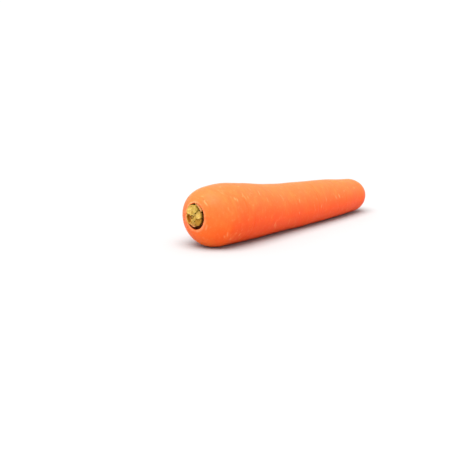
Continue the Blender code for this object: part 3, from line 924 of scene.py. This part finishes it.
class MESH_OT_carrot_stalks(bpy.types.Operator):
    """Make the cut leaf stalks and the folded heart bud"""
    bl_idname = "mesh.carrot_stalks_add"
    bl_label = "Cut leaf stalks"

    def execute(self, context):
        look = context.scene.carrot_stalks
        material = stalk_material(look)
        for seed, stalk in enumerate(STALKS, 21):
            place_piece(stalk.name, make_stalk_mesh(stalk, look, seed), material, stalk.node)
        place_piece("heart_bud_folded", make_heart_mesh(look), material, "heart_bud")
        return {"FINISHED"}


class MESH_OT_carrot_sheaths(bpy.types.Operator):
    """Make the thin torn scraps of the outer leaf sheaths"""
    bl_idname = "mesh.carrot_sheaths_add"
    bl_label = "Torn sheaths"

    def execute(self, context):
        look = context.scene.carrot_stalks
        material = sheath_material(look)
        for seed, sheath in enumerate(SHEATHS, 41):
            place_piece(sheath.name, make_stalk_mesh(sheath, look, seed), material, sheath.node)
        return {"FINISHED"}


def add_floor(studio):
    half = studio.floor_size / 2
    corners = [(-half, -half, 0), (half, -half, 0), (half, half, 0), (-half, half, 0)]
    mesh = bpy.data.meshes.new("studio_floor")
    mesh.from_pydata(corners, [], [(0, 1, 2, 3)])
    mesh.materials.append(floor_material(studio))
    floor = bpy.data.objects.new("studio_floor", mesh)
    bpy.context.scene.collection.objects.link(floor)


def towards(azimuth, elevation):
    """The direction from the carrot to something round it, azimuth 0 being in front, at -Y."""
    flat = math.cos(elevation)
    return Vector((math.sin(azimuth) * flat, -math.cos(azimuth) * flat, math.sin(elevation)))


def add_lamp(studio):
    light = bpy.data.lights.new("overhead_lamp", "SUN")
    light.energy = studio.lamp_strength
    light.angle = studio.lamp_spread
    lamp = bpy.data.objects.new("overhead_lamp", light)
    direction = towards(studio.lamp_azimuth, studio.lamp_elevation)
    lamp.location = direction
    lamp.rotation_euler = (-direction).to_track_quat("-Z", "Y").to_euler()
    bpy.context.scene.collection.objects.link(lamp)


def add_surroundings(studio):
    world = bpy.data.worlds.new("white_room")
    world.use_nodes = True
    background = world.node_tree.nodes["Background"]
    background.inputs["Color"].default_value = (1.0, 1.0, 1.0, 1.0)
    background.inputs["Strength"].default_value = studio.sky_strength
    bpy.context.scene.world = world
    bpy.context.scene.view_settings.view_transform = "Standard"


def add_camera(studio):
    """The camera looks a little to the left of and below the carrot's middle."""
    back = towards(studio.azimuth, studio.elevation)
    right = Vector((math.cos(studio.azimuth), math.sin(studio.azimuth), 0.0))
    up = back.cross(right)
    middle = (CAD_BOX[0] + CAD_BOX[1]) / 2
    aim = middle - studio.aim_side * right - studio.aim_drop * up
    data = bpy.data.cameras.new("camera")
    data.lens = studio.lens
    data.clip_start = 0.05
    camera = bpy.data.objects.new("camera", data)
    camera.location = aim + studio.distance * back
    camera.rotation_euler = (-back).to_track_quat("-Z", "Y").to_euler()
    bpy.context.scene.collection.objects.link(camera)
    bpy.context.scene.camera = camera


class SCENE_OT_carrot_studio(bpy.types.Operator):
    """Set the pale floor, the soft light and the camera"""
    bl_idname = "scene.carrot_studio_add"
    bl_label = "Studio"

    def execute(self, context):
        studio = context.scene.carrot_studio
        add_floor(studio)
        add_lamp(studio)
        add_surroundings(studio)
        add_camera(studio)
        return {"FINISHED"}


class VIEW3D_PT_carrot(bpy.types.Panel):
    """Lists the carrot's settings and the buttons that make its pieces"""
    bl_label = "Fresh carrot"
    bl_idname = "VIEW3D_PT_carrot"
    bl_space_type = "VIEW_3D"
    bl_region_type = "UI"
    bl_category = "Carrot"

    def draw(self, context):
        layout = self.layout
        for title, name, group in SETTINGS:
            box = layout.box()
            box.label(text=title)
            for key in group.__annotations__:
                box.prop(getattr(context.scene, name), key)
        for operator in OPERATORS:
            layout.operator(operator.bl_idname)


SETTINGS = (
    ("Root", "carrot_root", CarrotRootSettings),
    ("Skin", "carrot_skin", CarrotSkinSettings),
    ("Stalks", "carrot_stalks", CarrotStalkSettings),
    ("Studio", "carrot_studio", CarrotStudioSettings),
)
OPERATORS = (MESH_OT_carrot_root, MESH_OT_carrot_stem, MESH_OT_carrot_stalks, MESH_OT_carrot_sheaths,
             SCENE_OT_carrot_studio)


def register():
    for _, name, group in SETTINGS:
        bpy.utils.register_class(group)
        setattr(bpy.types.Scene, name, PointerProperty(type=group))
    for operator in OPERATORS:
        bpy.utils.register_class(operator)
    bpy.utils.register_class(VIEW3D_PT_carrot)


def unregister():
    bpy.utils.unregister_class(VIEW3D_PT_carrot)
    for operator in reversed(OPERATORS):
        bpy.utils.unregister_class(operator)
    for _, name, group in reversed(SETTINGS):
        delattr(bpy.types.Scene, name)
        bpy.utils.unregister_class(group)


def main():
    register()
    bpy.ops.mesh.carrot_root_add()
    bpy.ops.mesh.carrot_stem_add()
    bpy.ops.mesh.carrot_stalks_add()
    bpy.ops.mesh.carrot_sheaths_add()
    bpy.ops.scene.carrot_studio_add()


if __name__ == "__main__":
    main()
